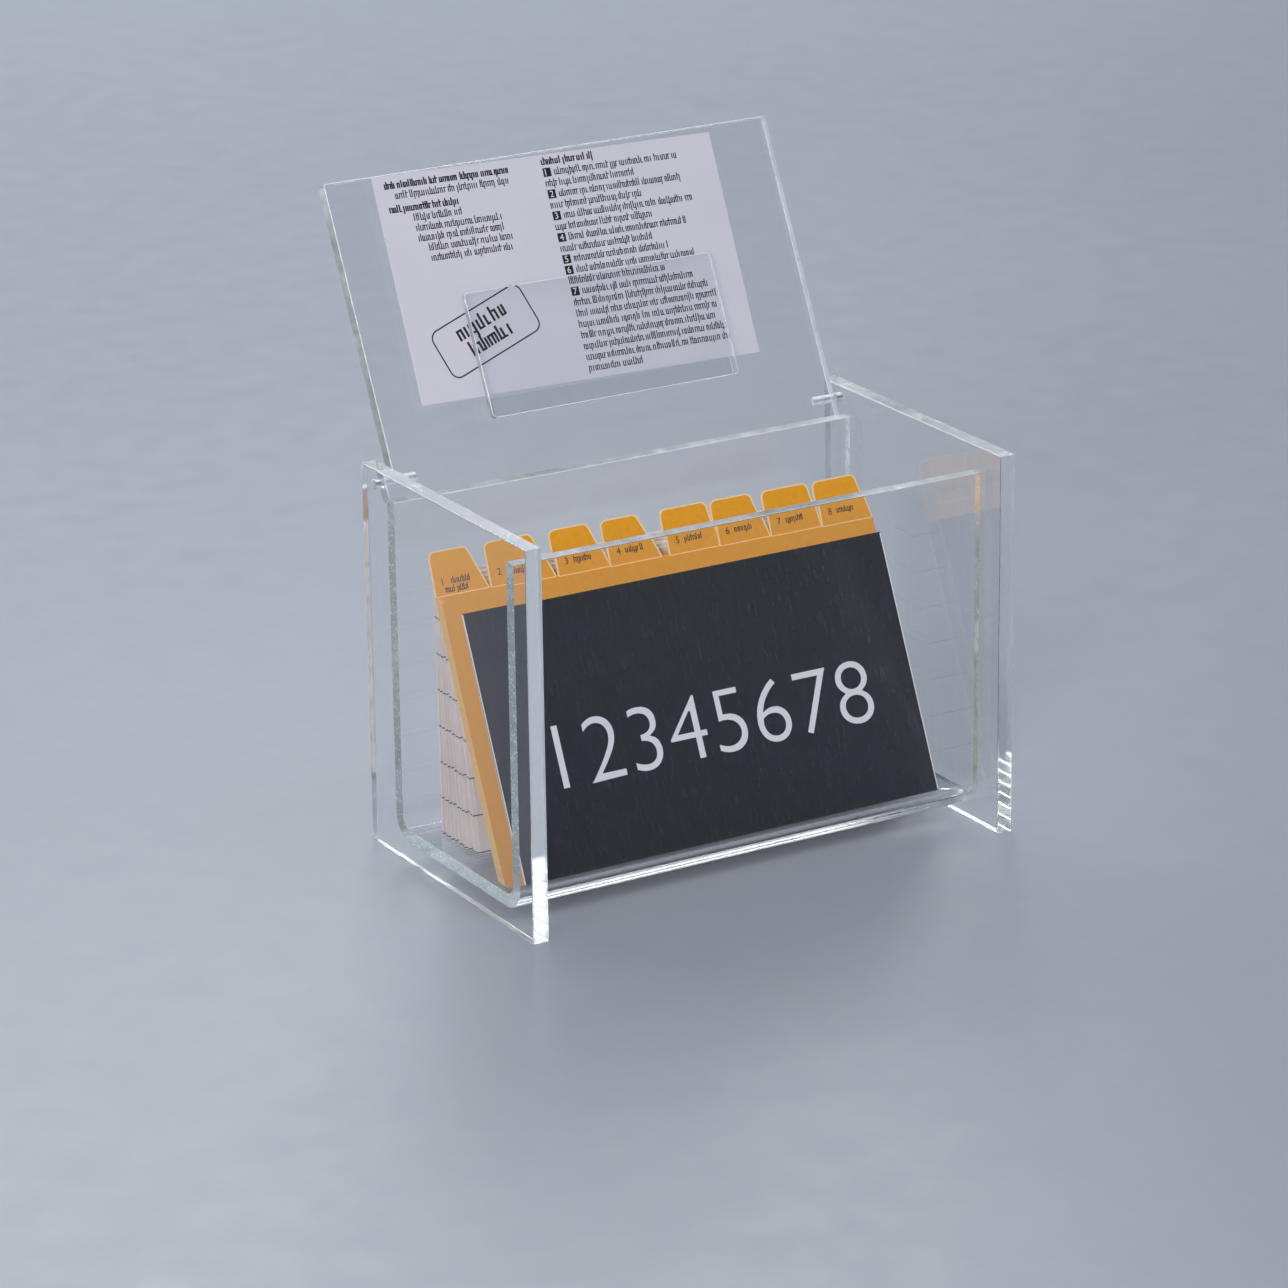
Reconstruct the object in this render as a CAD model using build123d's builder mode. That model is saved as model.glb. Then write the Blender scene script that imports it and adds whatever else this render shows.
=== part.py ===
"""Clear acrylic card file box with a hinged lid, a card holder on the lid, and its file of cards.

Millimetres, +Z up, +X to the right, -Y towards the user.
The origin is on the table, at the centre of the footprint of the box with its lid open.
"""
from build123d import *
from math import cos, radians, sin
import os

# Side panels: two thick sheets that stand on the table and carry everything else
BOX_WIDTH = 177.8
PANEL_THICKNESS = 5.6
PANEL_DEPTH = 104.8
PANEL_HEIGHT = 127.5
POLISHED_EDGE = 0.4
SAME_PLACE = 0.01

# Tray: one sheet bent into a front wall, a floor and a back wall, cemented between the panels
SHEET = 4.5
CEMENT_LINE = 0.05
TRAY_LIFT = 5.4
BEND_RADIUS = 6.2
FRONT_WALL_INSET = 11.5
FRONT_WALL_TOP = 119.3
BACK_WALL_TOP = 118.4

# Lid: one sheet on two pins, open against the back wall
LID_THICKNESS = 4.5
LID_SIDE_GAP = 1.0
LID_LENGTH = 96.4
LID_HEEL = 6.5
LID_CORNER = 1.2
LID_LEAN = 26.2
HEEL_STOP_GAP = 0.15

# Hinge pins: clear rods glued into the lid, turning in the panels
PIN_RADIUS = 1.5
PIN_CHAMFER = 0.2
PIN_GRIP = 8.0
PIN_GLUE_LINE = 0.03
PIN_RUNNING_GAP = 0.06
PIN_INSET = 7.8
PIN_HEIGHT = 122.4

# Card holder on the inner face of the lid
PANE_WIDTH = 92.0
PANE_HEIGHT = 41.0
PANE_THICKNESS = 2.0
PANE_CENTRE = 1.5
PANE_FOOT = 13.2
PANE_CORNER = 1.5
SPACER_HEIGHT = 6.0
SPACER_THICKNESS = 0.9

# Card shown in the holder
LID_CARD_WIDTH = 124.8
LID_CARD_HEIGHT = 74.6
LID_CARD_CENTRE = -3.7
LID_CARD_FOOT = 20.2
LID_CARD_TWIST = -1.0
LID_CARD_STANDOFF = 0.2

# Cards filed in the tray
CARD_THICKNESS = 0.35
FLOOR_GAP = 0.15
TITLE_WIDTH = 151.0
TITLE_HEIGHT = 86.5
TITLE_CENTRE = -1.2
TITLE_FOOT = 22.2
GUIDE_LEAN = 24.0
GUIDE_PITCH = 0.5
GUIDE_COUNT = 8
GUIDE_WIDTH = 155.4
GUIDE_CENTRE = -4.7
GUIDE_BODY = 91.5
TAB_HEIGHT = 14.3
TAB_SLANT = 5.2
TAB_LEAD = 0.6
TAB_CORNER = 2.4
GUIDE_CORNER = 1.0
RECIPE_COUNT = 20
RECIPE_WIDTH = 151.0
RECIPE_HEIGHT = 86.5
RECIPE_CENTRE = -0.5
RECIPE_FRONT = 51.4
RECIPE_BACK = 74.7
RECIPE_FRONT_LEAN = 10.0
RECIPE_BACK_LEAN = 1.0

# Places worked out from the sizes above
INNER_HALF = BOX_WIDTH / 2 - PANEL_THICKNESS
lid_reach = LID_LENGTH * sin(radians(LID_LEAN)) + LID_THICKNESS / 2 * cos(radians(LID_LEAN))
open_depth = PANEL_DEPTH - PIN_INSET + lid_reach
front_y = -open_depth / 2
pin_y = front_y + PANEL_DEPTH - PIN_INSET
heel_y = pin_y - LID_HEEL * sin(radians(LID_LEAN)) - LID_THICKNESS / 2 * cos(radians(LID_LEAN))
floor_top = TRAY_LIFT + SHEET
lid_half = INNER_HALF - LID_SIDE_GAP


def leaning_plane(y, z, lean):
    """A plane facing the user, tipped back by lean degrees about the X line through (y, z)."""
    facing = (0, -cos(radians(lean)), sin(radians(lean)))
    return Plane(origin=(0, y, z), x_dir=(1, 0, 0), z_dir=facing)


LID_PLANE = leaning_plane(pin_y, PIN_HEIGHT, LID_LEAN)


def finish(part, label):
    """Names a finished piece and writes its STEP file."""
    part.label = label
    export_step(part, f"parts/{label}.step")


def make_side_panel(label, inner_x):
    """A thick flat panel with the hole that a hinge pin turns in."""
    outward = 1 if inner_x > 0 else -1
    with BuildPart() as panel:
        with BuildSketch(Plane.YZ.offset(inner_x)):
            with Locations((front_y + PANEL_DEPTH / 2, PANEL_HEIGHT / 2)):
                Rectangle(PANEL_DEPTH, PANEL_HEIGHT)
            with Locations((pin_y, PIN_HEIGHT)):
                Circle(PIN_RADIUS + PIN_RUNNING_GAP, mode=Mode.SUBTRACT)
        extrude(amount=outward * PANEL_THICKNESS)
        fillet(panel.edges().filter_by(GeomType.LINE).filter_by(Axis.X, reverse=True), POLISHED_EDGE)
    finish(panel.part, label)


def make_tray():
    """One sheet bent up at the front and at the back."""
    front_mid = front_y + FRONT_WALL_INSET + SHEET / 2
    back_mid = heel_y - HEEL_STOP_GAP - SHEET / 2
    floor_mid = TRAY_LIFT + SHEET / 2
    half_width = INNER_HALF - CEMENT_LINE
    with BuildPart() as tray:
        with BuildSketch(Plane.YZ.offset(-half_width)):
            with BuildLine():
                FilletPolyline(
                    (front_mid, FRONT_WALL_TOP),
                    (front_mid, floor_mid),
                    (back_mid, floor_mid),
                    (back_mid, BACK_WALL_TOP),
                    radius=BEND_RADIUS,
                )
            trace(line_width=SHEET)
        extrude(amount=2 * half_width)
        for wall_top in (FRONT_WALL_TOP, BACK_WALL_TOP):
            lines = tray.edges().filter_by(Axis.X)
            rim = lines.filter_by_position(Axis.Z, wall_top - SAME_PLACE, wall_top + SAME_PLACE)
            fillet(rim, POLISHED_EDGE)
    finish(tray.part, "tray")


def make_lid():
    """The lid sheet with a blind bore in each side edge for its pin."""
    with BuildPart() as lid:
        with BuildSketch(LID_PLANE.offset(-LID_THICKNESS / 2)):
            with Locations((0, (LID_LENGTH - LID_HEEL) / 2)):
                RectangleRounded(2 * lid_half, LID_LENGTH + LID_HEEL, LID_CORNER)
        extrude(amount=LID_THICKNESS)
        faces = lid.faces().sort_by(Axis((0, 0, 0), LID_PLANE.z_dir))
        fillet(faces[0].edges() + faces[-1].edges(), POLISHED_EDGE)
        for side in (-1, 1):
            with BuildSketch(Plane.YZ.offset(side * lid_half)):
                with Locations((pin_y, PIN_HEIGHT)):
                    Circle(PIN_RADIUS + PIN_GLUE_LINE)
            extrude(amount=-side * PIN_GRIP, mode=Mode.SUBTRACT)
    finish(lid.part, "lid")


def make_hinge_pin(label, side):
    """A clear rod from the outer face of a panel to the bottom of the lid's bore."""
    outer_x = side * BOX_WIDTH / 2
    length = BOX_WIDTH / 2 - lid_half + PIN_GRIP - PIN_GLUE_LINE
    with BuildPart() as pin:
        with BuildSketch(Plane.YZ.offset(outer_x)):
            with Locations((pin_y, PIN_HEIGHT)):
                Circle(PIN_RADIUS)
        extrude(amount=-side * length)
        chamfer(pin.edges(), PIN_CHAMFER)
    finish(pin.part, label)


def make_card_holder():
    """The pane that holds a card to the lid, and the strip that spaces it off and stops the card."""
    spacer_back = LID_THICKNESS / 2 + PIN_GLUE_LINE
    pane_back = spacer_back + SPACER_THICKNESS + PIN_GLUE_LINE
    with BuildPart() as spacer:
        with BuildSketch(LID_PLANE.offset(spacer_back)):
            with Locations((PANE_CENTRE, PANE_FOOT + SPACER_HEIGHT / 2)):
                Rectangle(PANE_WIDTH - 2 * PANE_CORNER, SPACER_HEIGHT)
        extrude(amount=SPACER_THICKNESS)
    finish(spacer.part, "card_holder_spacer")
    with BuildPart() as pane:
        with BuildSketch(LID_PLANE.offset(pane_back)):
            with Locations((PANE_CENTRE, PANE_FOOT + PANE_HEIGHT / 2)):
                RectangleRounded(PANE_WIDTH, PANE_HEIGHT, PANE_CORNER)
        extrude(amount=PANE_THICKNESS)
        fillet(pane.faces().sort_by(Axis((0, 0, 0), LID_PLANE.z_dir))[-1].edges(), POLISHED_EDGE)
    finish(pane.part, "card_holder_pane")


def make_lid_card():
    """The card on show, slipped behind the pane and standing a little askew on the spacer."""
    card_back = LID_THICKNESS / 2 + LID_CARD_STANDOFF
    with BuildPart() as card:
        with BuildSketch(LID_PLANE.offset(card_back)):
            middle = (LID_CARD_CENTRE, LID_CARD_FOOT + LID_CARD_HEIGHT / 2)
            with Locations(Location(middle, LID_CARD_TWIST)):
                Rectangle(LID_CARD_WIDTH, LID_CARD_HEIGHT)
        extrude(amount=CARD_THICKNESS)
    finish(card.part, "lid_recipe_card")


def make_plain_card(label, centre, width, height, foot, lean):
    """A rectangular card standing on the floor of the tray, its back lower edge at foot."""
    with BuildPart() as card:
        with BuildSketch(leaning_plane(foot, floor_top + FLOOR_GAP, lean)):
            with Locations((centre, height / 2)):
                Rectangle(width, height)
        extrude(amount=CARD_THICKNESS)
    finish(card.part, label)


def make_divider(number, foot):
    """An index guide with one tab, which is one step further right for each number."""
    left = GUIDE_CENTRE - GUIDE_WIDTH / 2
    step = GUIDE_WIDTH / GUIDE_COUNT
    tab_left = left + step * (number - 1)
    tab_right = tab_left + step
    top = GUIDE_BODY + TAB_HEIGHT
    with BuildPart() as divider:
        with BuildSketch(leaning_plane(foot, floor_top + FLOOR_GAP, GUIDE_LEAN)):
            with Locations((GUIDE_CENTRE, GUIDE_BODY / 2)):
                RectangleRounded(GUIDE_WIDTH, GUIDE_BODY, GUIDE_CORNER)
            with BuildSketch(mode=Mode.PRIVATE) as tab:
                with BuildLine():
                    Polyline(
                        (tab_left, GUIDE_BODY - 2 * GUIDE_CORNER),
                        (tab_left, GUIDE_BODY),
                        (tab_left + TAB_LEAD, top),
                        (tab_right - TAB_SLANT, top),
                        (tab_right, GUIDE_BODY),
                        (tab_right, GUIDE_BODY - 2 * GUIDE_CORNER),
                        close=True,
                    )
                make_face()
                fillet(tab.vertices().group_by(Axis.Y)[-1], TAB_CORNER)
            add(tab.sketch)
        extrude(amount=CARD_THICKNESS)
    finish(divider.part, f"divider_{number}")


def make_file():
    """The title card, then the guides with the last number in front, then the recipe cards."""
    title_foot = front_y + TITLE_FOOT
    make_plain_card("title_card", TITLE_CENTRE, TITLE_WIDTH, TITLE_HEIGHT, title_foot, GUIDE_LEAN)
    foot_step = GUIDE_PITCH / cos(radians(GUIDE_LEAN))
    for place in range(GUIDE_COUNT):
        make_divider(GUIDE_COUNT - place, title_foot + foot_step * (place + 1))
    for place in range(RECIPE_COUNT):
        share = place / (RECIPE_COUNT - 1)
        foot = front_y + RECIPE_FRONT + share * (RECIPE_BACK - RECIPE_FRONT)
        lean = RECIPE_FRONT_LEAN + share * (RECIPE_BACK_LEAN - RECIPE_FRONT_LEAN)
        label = f"recipe_card_{place + 1:02d}"
        make_plain_card(label, RECIPE_CENTRE, RECIPE_WIDTH, RECIPE_HEIGHT, foot, lean)


os.makedirs("parts", exist_ok=True)
make_side_panel("left_side_panel", -INNER_HALF)
make_side_panel("right_side_panel", INNER_HALF)
make_tray()
make_lid()
make_hinge_pin("left_hinge_pin", -1)
make_hinge_pin("right_hinge_pin", 1)
make_card_holder()
make_lid_card()
make_file()
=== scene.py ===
"""Looks of the clear acrylic card file box: polished sheet, printed cards, studio floor, lights and camera.

Metres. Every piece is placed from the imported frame, on the axes of the plate that it covers:
x across the plate, y up it and z out of the face that the user sees.
"""

import math
import random

import bmesh
import bpy
from mathutils import Matrix, Vector


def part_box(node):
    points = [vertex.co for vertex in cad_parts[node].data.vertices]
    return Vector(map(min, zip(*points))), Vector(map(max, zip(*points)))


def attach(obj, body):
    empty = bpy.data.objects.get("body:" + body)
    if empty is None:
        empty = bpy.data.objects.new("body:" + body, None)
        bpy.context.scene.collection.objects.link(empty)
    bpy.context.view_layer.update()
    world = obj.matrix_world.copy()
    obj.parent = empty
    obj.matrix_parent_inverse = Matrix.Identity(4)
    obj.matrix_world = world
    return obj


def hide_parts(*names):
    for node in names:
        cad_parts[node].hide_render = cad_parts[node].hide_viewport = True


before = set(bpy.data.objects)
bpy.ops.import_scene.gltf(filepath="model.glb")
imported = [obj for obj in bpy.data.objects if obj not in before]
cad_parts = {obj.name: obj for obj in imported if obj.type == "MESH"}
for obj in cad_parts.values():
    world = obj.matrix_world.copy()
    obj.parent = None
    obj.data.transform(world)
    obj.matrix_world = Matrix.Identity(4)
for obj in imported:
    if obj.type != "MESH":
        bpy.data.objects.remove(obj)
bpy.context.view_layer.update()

MM = 0.001
GUIDE_COUNT = 8
RECIPE_COUNT = 20

ACRYLIC_IOR = 1.49

# Guides: the slants of the tabs' right sides and their shifts from an even row are in mm, from the left
TAB_HEIGHT = 14.3 * MM
TAB_SLANTS = (5.2, 5.2, 4.5, 5.4, 1.4, 3.5, 1.2, 2.4)
TAB_SHIFTS = (0.0, 0.0, 0.2, -0.6, 1.6, 0.6, 0.3, 0.0)
# Width of the pale band of painted highlight round each tab
TAB_HIGHLIGHT_WIDTH = 0.45 * MM
TAB_LEAD = 0.6 * MM
TAB_CORNER = 2.4 * MM
GUIDE_CORNER = 1.6 * MM
# Width of the pale line of painted highlight along each tab's crease
CREASE_HIGHLIGHT_WIDTH = 0.3 * MM

# Print on a guide, from the lower left corner of its tab. Lines are (left, foot, length)
LABEL_NUMERAL = (3.4 * MM, 3.3 * MM)
LABEL_NUMERAL_SIZE = 2.2 * MM
LABEL_LINE = (6.6 * MM, 3.5 * MM, 6.5 * MM)
FIRST_LABEL_LINE = (4.0 * MM, 0.9 * MM, 8.0 * MM)
LABEL_TEXT_SIZE = 1.5 * MM
LABEL_STROKE = 0.3 * MM

# Title card
TITLE_CORNER = 0.4 * MM
TITLE_BARE_EDGE = 0.4 * MM
TITLE_ROW_LEFT = 17.5 * MM
TITLE_ROW_FOOT = 27.0 * MM
TITLE_ROW_HEIGHT = 20.5 * MM
TITLE_ROW_WIDTH = 117.0 * MM
TITLE_THINNING = 0.014

# Recipe cards and their rules
CARD_CORNER = 0.3 * MM
FILED_CARD_TRIM = 0.5 * MM
FILED_CARD_SHIFT = 0.9 * MM
RULE_PITCH = 12.1 * MM
LOWEST_RULE = 0.5 * MM
HIGHEST_RULE = 80.0 * MM
RULE_WIDTH = 0.42 * MM
LID_CARD_TWIST = math.radians(-1.0)

# Bends of the cards: how far they bow, and over what part of them
GUIDE_BOW = 0.5 * MM
GUIDE_BOW_HEIGHT = 92 * MM
GUIDE_ROLL = 0.25 * MM
GUIDE_ROLL_WIDTH = 50 * MM
RECIPE_BOW = 0.35 * MM
RECIPE_BOW_HEIGHT = 87 * MM
BEND_STEP = 9.0 * MM

# Layer of ink on a card
PRINT_LIFT = 0.012 * MM
PRINT_THICKNESS = 0.012 * MM

# Dummy words, as shares of the height of a low letter or of a stroke's weight
TALL_LETTER = 1.42
TAIL = 0.42
WORD_GAP = 0.4
LETTER_STEPS = (0.32, 0.496)
JOIN_WEIGHT = 0.8
TALL_CHANCE = 0.22
TAIL_CHANCE = 0.07
JOIN_CHANCE = 0.62
LOW_JOIN_CHANCE = 0.45

# Photographic set
FLOOR_SIZE = 9.0
FLOOR_DROP = 0.05 * MM
CAMERA_PLACE = (-0.8209, -1.3807, 0.6267)
CAMERA_HEADING = -30.54
CAMERA_PITCH = 19.43
CAMERA_ROLL = -0.75
CAMERA_LENS = 147.7

chance = random.Random(11)


# ---------------------------------------------------------------- shader building

class Shader:
    """A new material with helpers that add and link nodes."""

    def __init__(self, name):
        self.material = bpy.data.materials.new(name)
        self.material.use_nodes = True
        self.tree = self.material.node_tree
        self.tree.nodes.clear()
        self.output = self.add("ShaderNodeOutputMaterial")
        self.place = self.add("ShaderNodeTexCoord").outputs["Object"]

    def add(self, kind, links=None, **settings):
        """Adds a node. Settings name its properties or sockets, and links maps sockets to outputs."""
        node = self.tree.nodes.new(kind)
        for key, value in settings.items():
            if hasattr(node, key):
                setattr(node, key, value)
            else:
                node.inputs[key.replace("_", " ")].default_value = value
        for socket, source in (links or {}).items():
            self.tree.links.new(source, node.inputs[socket])
        return node

    def stretched(self, x=1.0, y=1.0, z=1.0):
        """Object coordinates scaled by a factor along each axis."""
        return self.add("ShaderNodeMapping", {0: self.place}, Scale=(x, y, z)).outputs[0]

    def noise(self, scale, detail=4.0, roughness=0.55, at=None):
        node = self.add("ShaderNodeTexNoise", {0: at or self.place})
        node.inputs["Scale"].default_value = scale
        node.inputs["Detail"].default_value = detail
        node.inputs["Roughness"].default_value = roughness
        return node.outputs[0]

    def between(self, source, low, high, source_low=0.3, source_high=0.7):
        """Source, spread over the numbers from low to high."""
        node = self.add("ShaderNodeMapRange", {0: source})
        for socket, value in enumerate((source_low, source_high, low, high), start=1):
            node.inputs[socket].default_value = value
        return node.outputs[0]

    def ramp(self, source, stops):
        """Source through a colour ramp of (place, colour) stops."""
        node = self.add("ShaderNodeValToRGB", {0: source})
        elements = node.color_ramp.elements
        while len(elements) < len(stops):
            elements.new(0.5)
        for element, (at, colour) in zip(elements, stops):
            element.position = at
            element.color = (*colour, 1.0)
        return node.outputs[0]

    def blend(self, factor, first, second):
        """A colour mix, where each side is an output or a plain colour."""
        node = self.add("ShaderNodeMix", {0: factor}, data_type="RGBA")
        for socket, side in ((6, first), (7, second)):
            if isinstance(side, tuple):
                node.inputs[socket].default_value = (*side, 1.0)
            else:
                self.tree.links.new(side, node.inputs[socket])
        return node.outputs[2]

    def math(self, operation, first, second=None):
        node = self.add("ShaderNodeMath", operation=operation)
        for socket, side in enumerate((first, second)):
            if isinstance(side, (int, float)):
                node.inputs[socket].default_value = side
            elif side is not None:
                self.tree.links.new(side, node.inputs[socket])
        return node.outputs[0]

    def bump(self, height, distance, strength=1.0):
        node = self.add("ShaderNodeBump", {"Height": height}, Strength=strength, Distance=distance)
        return node.outputs[0]

    def principled(self, links=None, **sockets):
        node = self.add("ShaderNodeBsdfPrincipled", links)
        for key, value in sockets.items():
            node.inputs[key.replace("_", " ")].default_value = value
        return node.outputs[0]

    def finish(self, surface):
        self.tree.links.new(surface, self.output.inputs["Surface"])
        return self.material


def let_lamps_through(shader, glass, tint):
    """Glass for sight, and a tinted pane for the light that falls on what is behind it."""
    path = shader.add("ShaderNodeLightPath").outputs
    pane = shader.add("ShaderNodeBsdfTransparent", Color=(*tint, 1.0)).outputs[0]
    shadow_links = {0: path["Is Shadow Ray"], 1: glass, 2: pane}
    lamps = shader.add("ShaderNodeMixShader", shadow_links).outputs[0]
    diffuse_links = {0: path["Is Diffuse Ray"], 1: lamps, 2: pane}
    return shader.add("ShaderNodeMixShader", diffuse_links).outputs[0]


def acrylic_face():
    """The broad faces of cast sheet: clear, with faint smudges and a slight wave."""
    s = Shader("acrylic_face")
    smudges = s.noise(28.0, detail=5.0, roughness=0.65)
    wave = s.noise(9.0, detail=1.0)
    links = {
        "Roughness": s.between(smudges, 0.0, 0.022, 0.45, 0.8),
        "Normal": s.bump(wave, 0.35 * MM, 0.25),
    }
    tint = (0.985, 0.995, 1.0, 1.0)
    glass = s.principled(links, Base_Color=tint, IOR=ACRYLIC_IOR, Transmission_Weight=1.0)
    return s.finish(let_lamps_through(s, glass, (0.98, 0.985, 0.99)))


def acrylic_edge(name, haze, roughness, marks, tint, bubbles=0.0):
    """A worked edge: tool marks across it and a white haze, and bubbles in a cemented one."""
    s = Shader(name)
    across = s.noise(260.0, detail=6.0, roughness=0.7, at=s.stretched(1.0, 0.5, 1.0))
    patches = s.noise(42.0, detail=3.0)
    grain = s.math("MULTIPLY", across, patches)
    if bubbles:
        cells = s.add("ShaderNodeTexVoronoi", {0: s.place}, Scale=900.0).outputs[0]
        grain = s.math("ADD", grain, s.between(cells, bubbles, 0.0, 0.1, 0.25))
    links = {
        "Roughness": s.between(grain, roughness * 0.35, roughness, 0.12, 0.42),
        "Normal": s.bump(across, marks, 0.5),
        "Transmission Weight": s.between(grain, 1.0 - haze * 0.45, 1.0 - haze, 0.1, 0.45),
    }
    glass = s.principled(links, Base_Color=(*tint, 1.0), IOR=ACRYLIC_IOR)
    return s.finish(let_lamps_through(s, glass, (0.72, 0.79, 0.82)))


def paper_bump(s, scale, depth):
    fibres = s.noise(scale, detail=5.0, roughness=0.7, at=s.stretched(1.0, 0.45, 1.0))
    return s.bump(fibres, depth, 0.6)


def orange_stock():
    """Heavy orange index stock with a calendered surface, and painted shade that makes it darker low down
    and lighter towards the tabs.
    """
    s = Shader("orange_stock")
    height = s.add("ShaderNodeSeparateXYZ", {0: s.place}).outputs[1]
    # Painted shade: the colour runs from dark low on the guide to bright at its tabs.
    painted_shade_by_height = s.between(height, 0.0, 1.0, 0.01, 0.105)
    stops = [(0.0, (0.60, 0.265, 0.035)), (0.75, (0.72, 0.315, 0.03)), (1.0, (0.84, 0.36, 0.018))]
    base = s.ramp(painted_shade_by_height, stops)
    mottle = s.between(s.noise(520.0, detail=4.0), 0.0, 0.16, 0.35, 0.7)
    colour = s.blend(mottle, base, (0.46, 0.17, 0.015))
    links = {
        "Base Color": colour,
        "Roughness": s.between(s.noise(90.0), 0.42, 0.56),
        "Normal": paper_bump(s, 900.0, 0.02 * MM),
    }
    return s.finish(s.principled(links, Specular_IOR_Level=0.4))


def cut_edge(name, light, dark):
    """The cut edge of a card: plies of paper, lighter than its faces."""
    s = Shader(name)
    plies = s.noise(700.0, detail=3.0, at=s.stretched(1.0, 1.0, 14.0))
    colour = s.ramp(plies, [(0.35, dark), (0.6, light)])
    links = {"Base Color": colour, "Normal": s.bump(plies, 0.03 * MM)}
    return s.finish(s.principled(links, Roughness=0.8))


def black_gloss():
    """The title card's laminated black face, with the fine upright grain of its coating."""
    s = Shader("black_gloss")
    grain = s.noise(850.0, detail=4.0, roughness=0.75, at=s.stretched(1.0, 0.16, 1.0))
    bloom = s.between(grain, 0.0, 1.0, 0.3, 0.75)
    links = {
        "Base Color": s.blend(bloom, (0.002, 0.002, 0.004), (0.016, 0.016, 0.023)),
        "Roughness": s.between(grain, 0.14, 0.24),
        "Normal": s.bump(grain, 0.006 * MM, 0.4),
    }
    return s.finish(s.principled(links, Specular_IOR_Level=0.45))


def white_stock(name, colour, shade):
    """White card with a soft tooth."""
    s = Shader(name)
    cloud = s.between(s.noise(35.0, detail=2.0), 0.0, 1.0, 0.3, 0.7)
    links = {
        "Base Color": s.blend(cloud, colour, shade),
        "Roughness": s.between(s.noise(110.0), 0.5, 0.66),
        "Normal": paper_bump(s, 1100.0, 0.015 * MM),
    }
    return s.finish(s.principled(links, Specular_IOR_Level=0.35))


def ruled_stock():
    """Recipe card stock with dark rules across it that run off its edges."""
    s = Shader("ruled_stock")
    height = s.add("ShaderNodeSeparateXYZ", {0: s.place}).outputs[1]
    along = s.math("PINGPONG", s.math("SUBTRACT", height, LOWEST_RULE), RULE_PITCH / 2)
    rules = s.math("LESS_THAN", along, RULE_WIDTH / 2)
    printed = s.math("MULTIPLY", rules, s.math("LESS_THAN", height, HIGHEST_RULE))
    cloud = s.between(s.noise(60.0, detail=3.0), 0.0, 1.0, 0.3, 0.7)
    paper = s.blend(cloud, (0.82, 0.73, 0.70), (0.72, 0.63, 0.61))
    colour = s.blend(printed, paper, (0.035, 0.03, 0.045))
    links = {
        "Base Color": colour,
        "Roughness": s.between(s.noise(110.0), 0.55, 0.7),
        "Normal": paper_bump(s, 1000.0, 0.02 * MM),
    }
    return s.finish(s.principled(links, Specular_IOR_Level=0.3))


def ink(name, colour, gloss):
    """Printing ink with slight unevenness in its cover. A low gloss number is shiny."""
    s = Shader(name)
    cover = s.between(s.noise(1500.0, detail=3.0), 0.0, 0.35, 0.4, 0.75)
    lighter = tuple(min(1.0, c * 0.8 + 0.05) for c in colour)
    links = {
        "Base Color": s.blend(cover, colour, lighter),
        "Roughness": s.between(cover, gloss, gloss + 0.15, 0.0, 0.35),
    }
    return s.finish(s.principled(links))


def floor_material():
    s = Shader("studio_floor")
    cloud = s.between(s.noise(1.3, detail=2.0), 0.0, 1.0, 0.3, 0.7)
    links = {
        "Base Color": s.blend(cloud, (0.285, 0.305, 0.345), (0.262, 0.282, 0.322)),
        "Roughness": s.between(s.noise(60.0), 0.36, 0.46),
    }
    return s.finish(s.principled(links, Specular_IOR_Level=0.35))


FACE = acrylic_face()
CLEAR = (0.93, 0.97, 0.985)
GREENISH = (0.74, 0.83, 0.82)
POLISHED = acrylic_edge("acrylic_polished_edge", 0.12, 0.06, 0.05 * MM, CLEAR)
RIM = acrylic_edge("acrylic_rim", 0.62, 0.16, 0.06 * MM, CLEAR)
SCRAPED = acrylic_edge("acrylic_scraped_edge", 0.34, 0.30, 0.14 * MM, CLEAR)
CEMENTED = acrylic_edge("acrylic_cemented_end", 0.62, 0.35, 0.10 * MM, GREENISH, bubbles=0.3)
ORANGE = orange_stock()
ORANGE_EDGE = cut_edge("orange_cut_edge", (0.90, 0.62, 0.28), (0.72, 0.42, 0.14))
BLACK = black_gloss()
WHITE_EDGE = cut_edge("white_cut_edge", (0.86, 0.83, 0.82), (0.66, 0.63, 0.63))
CARD_WHITE = white_stock("lid_card_stock", (0.66, 0.64, 0.71), (0.63, 0.61, 0.68))
RULED = ruled_stock()
INK = ink("black_ink", (0.012, 0.012, 0.018), 0.35)
WHITE_INK = ink("white_ink", (0.78, 0.77, 0.80), 0.4)
# Pale ink for the painted highlight round the tabs and along their creases
TAB_HIGHLIGHT_INK = ink("painted_tab_highlight", (0.92, 0.66, 0.34), 0.6)


# ---------------------------------------------------------------- plates and meshes

class Plate:
    """The axes and the size of a flat CAD node, whose corner is its lower left back one."""

    def __init__(self, node, twist=0.0):
        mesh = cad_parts[node].data
        facing = max(mesh.polygons, key=lambda p: p.area).normal.copy()
        if facing.y > 0:
            facing.negate()
        across = Matrix.Rotation(twist, 3, facing) @ Vector((1, 0, 0))
        turn = Matrix((across, facing.cross(across), facing))
        points = [turn @ v.co for v in mesh.vertices]
        low = Vector(min(p[i] for p in points) for i in range(3))
        high = Vector(max(p[i] for p in points) for i in range(3))
        self.node = node
        self.width, self.height, self.thickness = high - low
        self.matrix = Matrix.Translation(turn.transposed() @ low) @ turn.transposed().to_4x4()


def new_piece(name, mesh, plate, body, materials):
    """A Blender object that lies on a plate's axes and rides with a CAD body."""
    for material in materials:
        mesh.materials.append(material)
    piece = bpy.data.objects.new(name, mesh)
    bpy.context.scene.collection.objects.link(piece)
    piece.matrix_world = plate.matrix
    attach(piece, body)
    return piece


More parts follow.
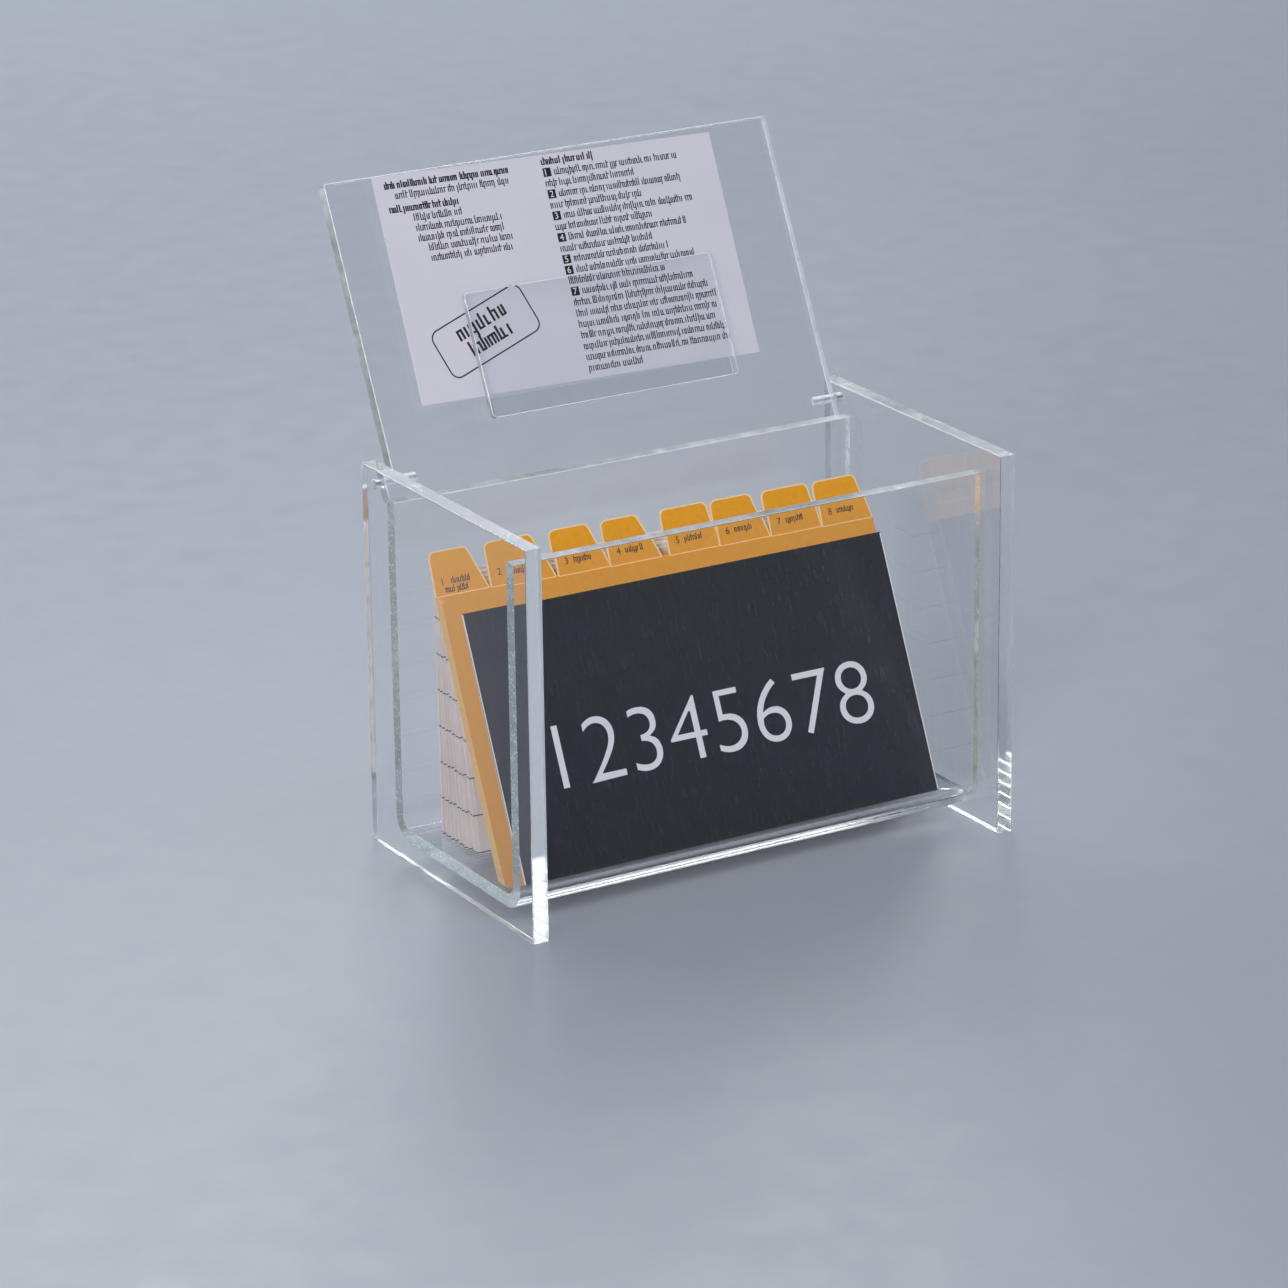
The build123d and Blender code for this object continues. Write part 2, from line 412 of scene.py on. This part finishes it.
def arc_corner(before, corner, after, radius, steps=6):
    """Points of the arc that rounds a corner between two straight sides."""
    to_before = (Vector(before) - Vector(corner)).normalized()
    to_after = (Vector(after) - Vector(corner)).normalized()
    half = to_before.angle(to_after) / 2
    centre = Vector(corner) + (to_before + to_after).normalized() * radius / math.sin(half)
    start = Vector(corner) + to_before * radius / math.tan(half) - centre
    end = Vector(corner) + to_after * radius / math.tan(half) - centre
    turn = start.angle_signed(end)
    return [centre + Matrix.Rotation(-turn * k / steps, 2) @ start for k in range(steps + 1)]


def rounded(corners):
    """An outline from (x, y, radius) corners, with arcs where the radius isn't 0."""
    points = []
    for i, (x, y, radius) in enumerate(corners):
        before = corners[i - 1][:2]
        after = corners[(i + 1) % len(corners)][:2]
        points += arc_corner(before, (x, y), after, radius) if radius else [Vector((x, y))]
    return points


def rectangle(width, height, radius=0.0):
    return rounded([(0, 0, radius), (width, 0, radius), (width, height, radius), (0, height, radius)])


def thicken(bm, faces, depth):
    """Turns flat faces into a closed layer, depth thick along z."""
    grown = bmesh.ops.extrude_face_region(bm, geom=faces)["geom"]
    for v in (g for g in grown if isinstance(g, bmesh.types.BMVert)):
        v.co.z += depth


def card_mesh(name, outline, thickness, bow):
    """A closed card: front and back face in slot 0, cut edge in slot 1, bent by bow(x, y)."""
    bm = bmesh.new()
    face = bm.faces.new([bm.verts.new((x, y, 0)) for x, y in outline])
    if face.normal.z < 0:
        face.normal_flip()
    thicken(bm, [face], thickness)
    bmesh.ops.recalc_face_normals(bm, faces=bm.faces)
    for f in bm.faces:
        f.material_index = 0 if abs(f.normal.z) > 0.9 else 1
    for axis in (0, 1):
        span = [p[axis] for p in outline]
        cuts = max(1, round((max(span) - min(span)) / BEND_STEP))
        normal = Vector((1, 0, 0)) if axis == 0 else Vector((0, 1, 0))
        for k in range(1, cuts):
            at = normal * (min(span) + (max(span) - min(span)) * k / cuts)
            everything = bm.verts[:] + bm.edges[:] + bm.faces[:]
            bmesh.ops.bisect_plane(bm, geom=everything, plane_co=at, plane_no=normal)
    for v in bm.verts:
        v.co.z += bow(v.co.x, v.co.y)
    mesh = bpy.data.meshes.new(name)
    bm.to_mesh(mesh)
    bm.free()
    return mesh


def flat(x, y):
    return 0.0


class Print:
    """Thin ink shapes on the front of a card, gathered into one mesh."""

    def __init__(self, plate, bow=flat, lift=PRINT_LIFT):
        self.bm = bmesh.new()
        self.plate = plate
        self.bow = bow
        self.lift = lift

    def shape(self, outline, turn=None):
        """A filled outline, moved by a 2-D matrix if one is given."""
        base = self.plate.thickness + self.lift
        points = [Vector((x, y, 0)) for x, y in outline]
        if turn:
            points = [turn @ p for p in points]
        verts = [self.bm.verts.new((p.x, p.y, base + self.bow(p.x, p.y))) for p in points]
        face = self.bm.faces.new(verts)
        thicken(self.bm, [face], PRINT_THICKNESS)

    def bar(self, x, y, width, height, turn=None):
        self.shape([(x, y), (x + width, y), (x + width, y + height), (x, y + height)], turn)

    def words(self, x, y, length, size, weight, turn=None):
        """A line of unreadable dummy words: upright strokes, some of them tall, some joined."""
        at = x
        strokes_left = 2 * chance.randint(3, 8)
        while at < x + length:
            tall = chance.random() < TALL_CHANCE
            low = -TAIL * size if chance.random() < TAIL_CHANCE else 0.0
            self.bar(at, y + low, weight, size * (TALL_LETTER if tall else 1.0) - low, turn)
            step = size * chance.uniform(*LETTER_STEPS)
            if chance.random() < JOIN_CHANCE and at + step < x + length:
                level = y if chance.random() < LOW_JOIN_CHANCE else y + size - weight * JOIN_WEIGHT
                self.bar(at, level, step + weight / 2, weight * JOIN_WEIGHT, turn)
            at += step
            strokes_left -= 1
            if strokes_left == 0:
                at += WORD_GAP * size
                strokes_left = 2 * chance.randint(2, 9)

    def text(self, characters, x, y, size, width=None, thin=0.0):
        """Numerals, with their lower left corner at x and y, spread to a width if one is given."""
        curve = bpy.data.curves.new("numerals", "FONT")
        curve.body = characters
        curve.resolution_u = 6
        curve.offset = -thin
        maker = bpy.data.objects.new("numerals", curve)
        bpy.context.scene.collection.objects.link(maker)
        graph = bpy.context.evaluated_depsgraph_get()
        mesh = bpy.data.meshes.new_from_object(maker.evaluated_get(graph))
        low = Vector(min(v.co[i] for v in mesh.vertices) for i in range(3))
        high = Vector(max(v.co[i] for v in mesh.vertices) for i in range(3))
        tall = size / (high.y - low.y)
        wide = width / (high.x - low.x) if width else tall
        base = self.plate.thickness + self.lift
        points = [(x + (v.co.x - low.x) * wide, y + (v.co.y - low.y) * tall) for v in mesh.vertices]
        verts = [self.bm.verts.new((px, py, base + self.bow(px, py))) for px, py in points]
        faces = [self.bm.faces.new([verts[i] for i in p.vertices]) for p in mesh.polygons]
        thicken(self.bm, faces, PRINT_THICKNESS)
        bpy.data.objects.remove(maker)
        bpy.data.curves.remove(curve)
        bpy.data.meshes.remove(mesh)

    def piece(self, name, body, slot, material):
        bmesh.ops.recalc_face_normals(self.bm, faces=self.bm.faces)
        mesh = bpy.data.meshes.new(name)
        self.bm.to_mesh(mesh)
        self.bm.free()
        return new_piece(name, mesh, self.plate, body, [material])


# ---------------------------------------------------------------- acrylic

def finish_acrylic(node, materials, choose):
    """Gives a CAD sheet its materials. choose(normal, centre) is the number of a facet's material."""
    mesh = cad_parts[node].data
    mesh.materials.clear()
    for material in materials:
        mesh.materials.append(material)
    for polygon in mesh.polygons:
        polygon.material_index = choose(polygon.normal, polygon.center)


def dress_box():
    for node in ("left_side_panel", "right_side_panel"):
        finish_acrylic(node, (FACE, SCRAPED, POLISHED), panel_material)
    finish_acrylic("tray", (FACE, RIM, CEMENTED), tray_material)
    facing = Plate("lid").matrix.to_3x3().col[2]
    for node in ("lid", "card_holder_pane", "card_holder_spacer"):
        finish_acrylic(node, (FACE, RIM), lambda normal, centre: int(abs(normal.dot(facing)) < 0.95))
    for node in ("left_hinge_pin", "right_hinge_pin"):
        finish_acrylic(node, (FACE, POLISHED), lambda normal, centre: int(abs(normal.x) > 0.5))


def panel_material(normal, centre):
    """Clear faces, polished upright edges, and the rest as it was scraped."""
    if abs(normal.x) > 0.95:
        return 0
    return 2 if abs(normal.y) > abs(normal.z) else 1


def tray_material(normal, centre):
    """Bright rims on the walls, cement on the ends, and clear faces for the rest of the tray."""
    if abs(normal.x) > 0.5:
        return 2
    return int(normal.z > 0.5 and centre.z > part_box("tray")[1].z - 2 * MM)


# ---------------------------------------------------------------- cards

def guide_bow(x, y):
    """The title card and the guides share one slight bend, so that they don't cut each other."""
    bow = GUIDE_BOW * math.sin(math.pi * min(1.0, y / GUIDE_BOW_HEIGHT))
    return GUIDE_ROLL * math.cos(x / GUIDE_ROLL_WIDTH) - bow


def make_title_card():
    plate = Plate("title_card")
    outline = rectangle(plate.width, plate.height, TITLE_CORNER)
    mesh = card_mesh("title_card", outline, plate.thickness, guide_bow)
    card = new_piece("title_card_face", mesh, plate, "title_card", [BLACK, WHITE_EDGE])
    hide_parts("title_card")
    numerals = Print(plate, guide_bow)
    place = (TITLE_ROW_LEFT, TITLE_ROW_FOOT, TITLE_ROW_HEIGHT)
    numerals.text("12345678", *place, width=TITLE_ROW_WIDTH, thin=TITLE_THINNING)
    numerals.piece("title_numerals", "title_card", "white_card", WHITE_INK)
    bare_edges = Print(plate, guide_bow)
    for left in (0.0, plate.width - TITLE_BARE_EDGE):
        bare_edges.bar(left, TITLE_CORNER, TITLE_BARE_EDGE, plate.height - 2 * TITLE_CORNER)
    bare_edges.piece("title_bare_edges", "title_card", "white_card", WHITE_INK)


def tab_corners(plate, number, inset=0.0):
    """The corners of a guide's tab, from its lower right one round to its lower left one."""
    body = plate.height - TAB_HEIGHT
    step = plate.width / GUIDE_COUNT
    shift = TAB_SHIFTS[number - 1] * MM
    left = step * (number - 1) + shift + inset
    right = step * number + shift - inset
    top = plate.height - inset
    corner = TAB_CORNER - inset
    slant = TAB_SLANTS[number - 1] * MM
    return [(right, body, 0), (right - slant, top, corner), (left + TAB_LEAD, top, corner), (left, body, 0)]


def guide_outline(plate, number):
    """The outline of an index guide with its tab in place number from the left."""
    body = plate.height - TAB_HEIGHT
    corners = [(0, 0, GUIDE_CORNER), (plate.width, 0, GUIDE_CORNER)]
    if number < GUIDE_COUNT:
        corners.append((plate.width, body, GUIDE_CORNER))
    corners += tab_corners(plate, number)
    if number > 1:
        corners.append((0, body, GUIDE_CORNER))
    return rounded(corners)


def print_label(label, number, left, foot):
    """A guide's numeral and its line of dummy words. The first guide has two lines."""
    x, y = LABEL_NUMERAL
    label.text(str(number), left + x, foot + y, LABEL_NUMERAL_SIZE)
    lines = [LABEL_LINE, FIRST_LABEL_LINE] if number == 1 else [LABEL_LINE]
    for x, y, length in lines:
        label.words(left + x, foot + y, length, LABEL_TEXT_SIZE, LABEL_STROKE)


def print_rim(tab_highlight, plate, number, left, foot):
    """Painted highlight: a pale line round a tab's edges, and a pale line along the crease at its foot."""
    outer = rounded(tab_corners(plate, number))
    inner = rounded(tab_corners(plate, number, TAB_HIGHLIGHT_WIDTH))
    for k in range(len(outer) - 1):
        tab_highlight.shape([outer[k], outer[k + 1], inner[k + 1], inner[k]])
    crease_length = plate.width / GUIDE_COUNT - 2 * TAB_HIGHLIGHT_WIDTH
    tab_highlight.bar(left + TAB_HIGHLIGHT_WIDTH, foot - CREASE_HIGHLIGHT_WIDTH / 2, crease_length, CREASE_HIGHLIGHT_WIDTH)


def make_guide(number):
    node = f"divider_{number}"
    plate = Plate(node)
    mesh = card_mesh(node, guide_outline(plate, number), plate.thickness, guide_bow)
    guide = new_piece(f"guide_{number}", mesh, plate, node, [ORANGE, ORANGE_EDGE])
    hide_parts(node)
    left, foot = tab_corners(plate, number)[3][:2]
    label = Print(plate, guide_bow)
    print_label(label, number, left, foot)
    label.piece(f"guide_{number}_label", node, "black_card", INK)
    # Painted highlight round the tab and along its crease
    tab_highlight = Print(plate, guide_bow)
    print_rim(tab_highlight, plate, number, left, foot)
    tab_highlight.piece(f"guide_{number}_rim", node, "orange_card", TAB_HIGHLIGHT_INK)


def recipe_bow(x, y):
    return RECIPE_BOW * math.sin(math.pi * min(1.0, y / RECIPE_BOW_HEIGHT))


def make_recipe_card(number):
    node = f"recipe_card_{number:02d}"
    plate = Plate(node)
    sideways = chance.uniform(-FILED_CARD_SHIFT, FILED_CARD_SHIFT)
    up = chance.uniform(-0.05 * MM, FILED_CARD_TRIM)
    shift = Vector((sideways, up, 0))
    outline = rectangle(plate.width, plate.height - FILED_CARD_TRIM, CARD_CORNER)
    plate.matrix = plate.matrix @ Matrix.Translation(shift)
    mesh = card_mesh(node, outline, plate.thickness, recipe_bow)
    card = new_piece(f"filed_card_{number:02d}", mesh, plate, node, [RULED, RULED])
    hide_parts(node)


def make_lid_card():
    plate = Plate("lid_recipe_card", LID_CARD_TWIST)
    outline = rectangle(plate.width, plate.height, CARD_CORNER)
    mesh = card_mesh("lid_card", outline, plate.thickness, flat)
    materials = [CARD_WHITE, WHITE_EDGE]
    card = new_piece("lid_card_stock", mesh, plate, "lid_recipe_card", materials)
    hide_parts("lid_recipe_card")
    ink_print = Print(plate)
    print_ingredients(ink_print)
    print_steps(ink_print)
    print_badge(ink_print)
    ink_print.piece("lid_card_print", "lid_recipe_card", "black_card", INK)
    numerals = Print(plate, lift=PRINT_LIFT + 2 * PRINT_THICKNESS)
    for number, line in enumerate(STEP_LINES, start=1):
        y = step_line_y(line) + NUMERAL_RISE
        numerals.text(str(number), STEPS_LEFT + NUMERAL_INSET, y, NUMERAL_SIZE)
    numerals.piece("lid_card_numerals", "lid_recipe_card", "white_card", WHITE_INK)


# Print on the lid's card. Badge words are (left, foot, length), and the steps' lengths are in mm
TEXT_SIZE = 1.75 * MM
STROKE = 0.35 * MM
BOLD = 0.50 * MM
COLUMN_LEFT = 3.6 * MM
COLUMN_TOP = 70.2 * MM
COLUMN_PITCH = 3.4 * MM
HEADING_GAP = 1.0 * MM
STEPS_LEFT = 60.9 * MM
STEPS_TOP = 71.2 * MM
STEPS_PITCH = 3.62 * MM
STEP_INDENT = 4.0 * MM
SQUARE_SIZE = 2.9 * MM
SQUARE_DROP = 0.35 * MM
NUMERAL_SIZE = 2.1 * MM
NUMERAL_INSET = 0.75 * MM
NUMERAL_RISE = 0.1 * MM
BADGE_WIDTH = 37.0 * MM
BADGE_HEIGHT = 17.2 * MM
BADGE_CORNER = 3.2 * MM
BADGE_LINE = 0.45 * MM
BADGE_PLACE = (13.3 * MM, 6.0 * MM, 0)
BADGE_TILT = math.radians(20.3)
BADGE_WORDS = ((9.0 * MM, 9.9 * MM, 19.0 * MM), (10.5 * MM, 3.6 * MM, 16.0 * MM))
BADGE_TEXT_SIZE = 3.6 * MM
BADGE_STROKE = 0.85 * MM
STEP_LINES = (1, 3, 5, 7, 9, 10, 12)
STEP_LENGTHS = (19, 50, 33, 49, 34, 52, 36, 48, 34, 39, 48, 36, 45, 50, 52, 52, 50, 54, 53, 20)


def step_line_y(line):
    return STEPS_TOP - STEPS_PITCH * line


def print_ingredients(ink_print):
    """The left column: two headings and their indented lines. Indents and lengths are in mm."""
    rows = [
        (0, 45, BOLD),
        (3.2, 41, STROKE),
        (0, 25, BOLD),
        (8, 17, STROKE),
        (8, 31, STROKE),
        (8, 32, STROKE),
        (11, 30, STROKE),
        (11, 29, STROKE),
    ]
    for line, (indent, length, weight) in enumerate(rows):
        gap = HEADING_GAP if line >= 2 else 0.0
        y = COLUMN_TOP - COLUMN_PITCH * line - gap
        ink_print.words(COLUMN_LEFT + indent * MM, y, length * MM, TEXT_SIZE, weight)


def print_steps(ink_print):
    """The right column: a heading, then lines of which some start with a numbered square."""
    for line, length in enumerate(STEP_LENGTHS):
        y = step_line_y(line)
        numbered = line in STEP_LINES
        if numbered:
            ink_print.bar(STEPS_LEFT, y - SQUARE_DROP, SQUARE_SIZE, SQUARE_SIZE)
        start = STEPS_LEFT + (STEP_INDENT if numbered else 0.0)
        weight = BOLD if line == 0 else STROKE
        ink_print.words(start, y, length * MM - (start - STEPS_LEFT), TEXT_SIZE, weight)


def print_badge(ink_print):
    """A tilted frame with rounded corners round two short bold lines."""
    turn = Matrix.Translation(BADGE_PLACE) @ Matrix.Rotation(BADGE_TILT, 4, "Z")
    outer = rectangle(BADGE_WIDTH, BADGE_HEIGHT, BADGE_CORNER)
    inner_size = (BADGE_WIDTH - 2 * BADGE_LINE, BADGE_HEIGHT - 2 * BADGE_LINE)
    opening = rectangle(*inner_size, BADGE_CORNER - BADGE_LINE)
    inner = [Vector((BADGE_LINE, BADGE_LINE)) + point for point in opening]
    for k, start in enumerate(outer):
        following = (k + 1) % len(outer)
        ink_print.shape([start, outer[following], inner[following], inner[k]], turn)
    for left, foot, length in BADGE_WORDS:
        ink_print.words(left, foot, length, BADGE_TEXT_SIZE, BADGE_STROKE, turn)


# ---------------------------------------------------------------- set

def area_light(name, place, target, size, power, colour=(1, 1, 1)):
    light = bpy.data.lights.new(name, "AREA")
    light.shape = "RECTANGLE"
    light.size, light.size_y = size
    light.energy = power
    light.color = colour
    lamp = bpy.data.objects.new(name, light)
    bpy.context.scene.collection.objects.link(lamp)
    lamp.location = place
    lamp.rotation_euler = (Vector(target) - Vector(place)).to_track_quat("-Z", "Y").to_euler()


def make_floor():
    half = FLOOR_SIZE / 2
    mesh = bpy.data.meshes.new("studio_floor")
    corners = [(-half, -half, 0), (half, -half, 0), (half, half, 0), (-half, half, 0)]
    mesh.from_pydata(corners, [], [(0, 1, 2, 3)])
    mesh.materials.append(floor_material())
    floor = bpy.data.objects.new("studio_floor", mesh)
    bpy.context.scene.collection.objects.link(floor)
    floor.location.z = -FLOOR_DROP


def make_world():
    """A studio that is pale at eye level, dark where the title card mirrors it, and bright overhead."""
    world = bpy.data.worlds.new("studio")
    bpy.context.scene.world = world
    world.use_nodes = True
    tree = world.node_tree
    tree.nodes.clear()
    direction = tree.nodes.new("ShaderNodeTexCoord")
    split = tree.nodes.new("ShaderNodeSeparateXYZ")
    ramp = tree.nodes.new("ShaderNodeValToRGB")
    light = tree.nodes.new("ShaderNodeBackground")
    output = tree.nodes.new("ShaderNodeOutputWorld")
    tree.links.new(direction.outputs["Generated"], split.inputs[0])
    tree.links.new(split.outputs[2], ramp.inputs[0])
    tree.links.new(ramp.outputs[0], light.inputs[0])
    tree.links.new(light.outputs[0], output.inputs[0])
    elements = ramp.color_ramp.elements
    stops = [
        (0.12, (0.30, 0.32, 0.37)),
        (0.34, (0.045, 0.05, 0.065)),
        (0.6, (0.045, 0.05, 0.065)),
        (0.9, (0.75, 0.80, 0.88)),
    ]
    while len(elements) < len(stops):
        elements.new(0.5)
    for element, (height, colour) in zip(elements, stops):
        element.position = height
        element.color = (*colour, 1.0)


def make_lights():
    area_light("back_softbox", (0.3, 1.6, 1.2), (0.2, 0.9, 0), (1.8, 0.7), 24, (0.96, 0.98, 1.0))
    area_light("key_softbox", (-1.6, -1.15, 1.0), (0, 0, 0.15), (0.8, 0.8), 32, (1.0, 0.99, 0.97))
    area_light("top_softbox", (0.1, 0.2, 1.8), (0, 0.1, 0), (1.2, 0.6), 9)


def make_camera():
    data = bpy.data.cameras.new("camera")
    data.lens = CAMERA_LENS
    data.sensor_width = 36.0
    data.clip_start, data.clip_end = 0.05, 50.0
    camera = bpy.data.objects.new("camera", data)
    bpy.context.scene.collection.objects.link(camera)
    heading = Matrix.Rotation(math.radians(CAMERA_HEADING), 4, "Z")
    pitch = Matrix.Rotation(math.radians(90 - CAMERA_PITCH), 4, "X")
    roll = Matrix.Rotation(math.radians(CAMERA_ROLL), 4, "Z")
    camera.matrix_world = Matrix.Translation(CAMERA_PLACE) @ heading @ pitch @ roll
    bpy.context.scene.camera = camera


def make_rendering_choices():
    """Plain colours, and enough bounces for light that runs along inside the clear sheets.

    Light already passes straight through the sheets, so caustics would count it twice.
    """
    scene = bpy.context.scene
    scene.view_settings.view_transform = "Standard"
    scene.cycles.max_bounces = 24
    scene.cycles.glossy_bounces = 16
    scene.cycles.transmission_bounces = 20
    scene.cycles.transparent_max_bounces = 24
    scene.cycles.caustics_refractive = False
    scene.cycles.caustics_reflective = False


dress_box()
make_title_card()
for place in range(1, GUIDE_COUNT + 1):
    make_guide(place)
for place in range(1, RECIPE_COUNT + 1):
    make_recipe_card(place)
make_lid_card()
make_floor()
make_world()
make_lights()
make_camera()
make_rendering_choices()
